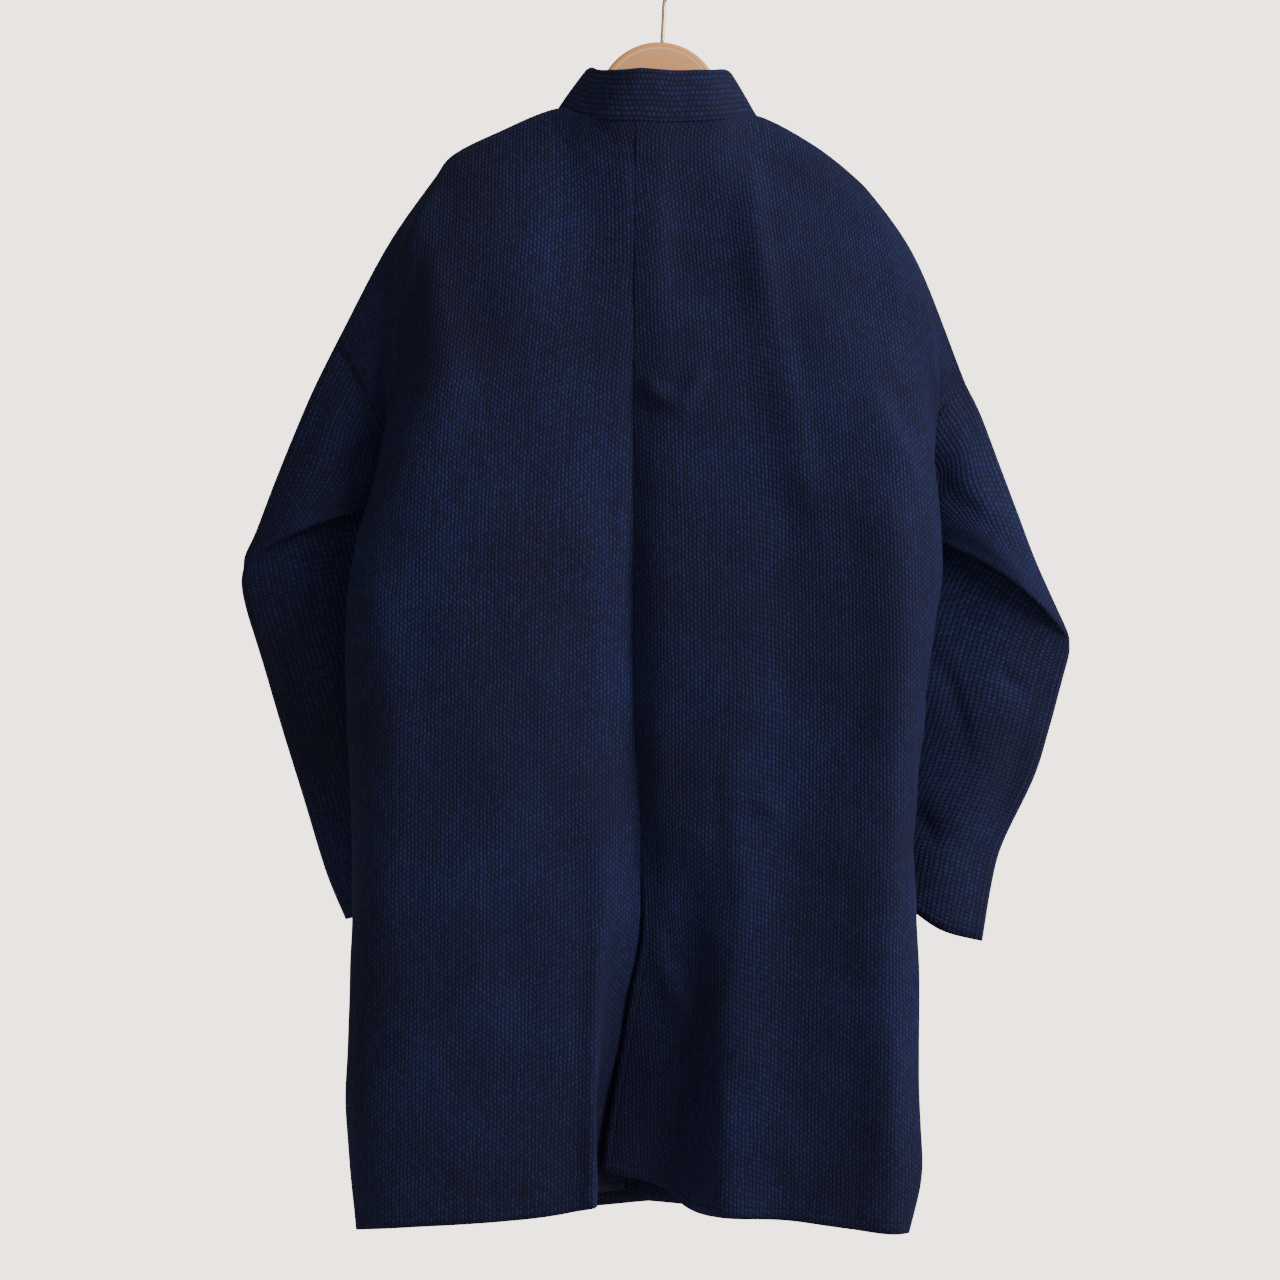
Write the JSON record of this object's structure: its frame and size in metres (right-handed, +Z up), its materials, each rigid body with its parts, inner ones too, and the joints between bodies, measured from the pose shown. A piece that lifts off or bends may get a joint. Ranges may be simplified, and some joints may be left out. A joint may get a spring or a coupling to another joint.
{
  "type": "kendo jacket",
  "caption": "Indigo woven cotton training jacket with a wrapped collar, short wide sleeves and a back vent, hanging on a wooden hanger with a wire hook.",
  "frame": {"origin": "top inside of the wire hook, where it rests on a rail", "axes": "+Z up, -Y out of the back of the jacket, +X towards the wearer's right sleeve"},
  "size_m": [0.6802, 0.1155, 1.0534],
  "materials": {
    "indigo_cotton": "thick woven cotton with a raised rice-grain weave, dyed dark indigo",
    "collar_cotton": "thick folded cotton band with rows of grains along it",
    "hanger_wood": "clear-varnished beech",
    "hook_wire": "pale brass-plated wire"
  },
  "bodies": {
    "root": {"body_left": "indigo_cotton", "body_right": "indigo_cotton", "sleeve_left": "indigo_cotton", "sleeve_right": "indigo_cotton", "collar": "collar_cotton", "hanger": "hanger_wood", "hook": "hook_wire"}
  },
  "joints": []
}
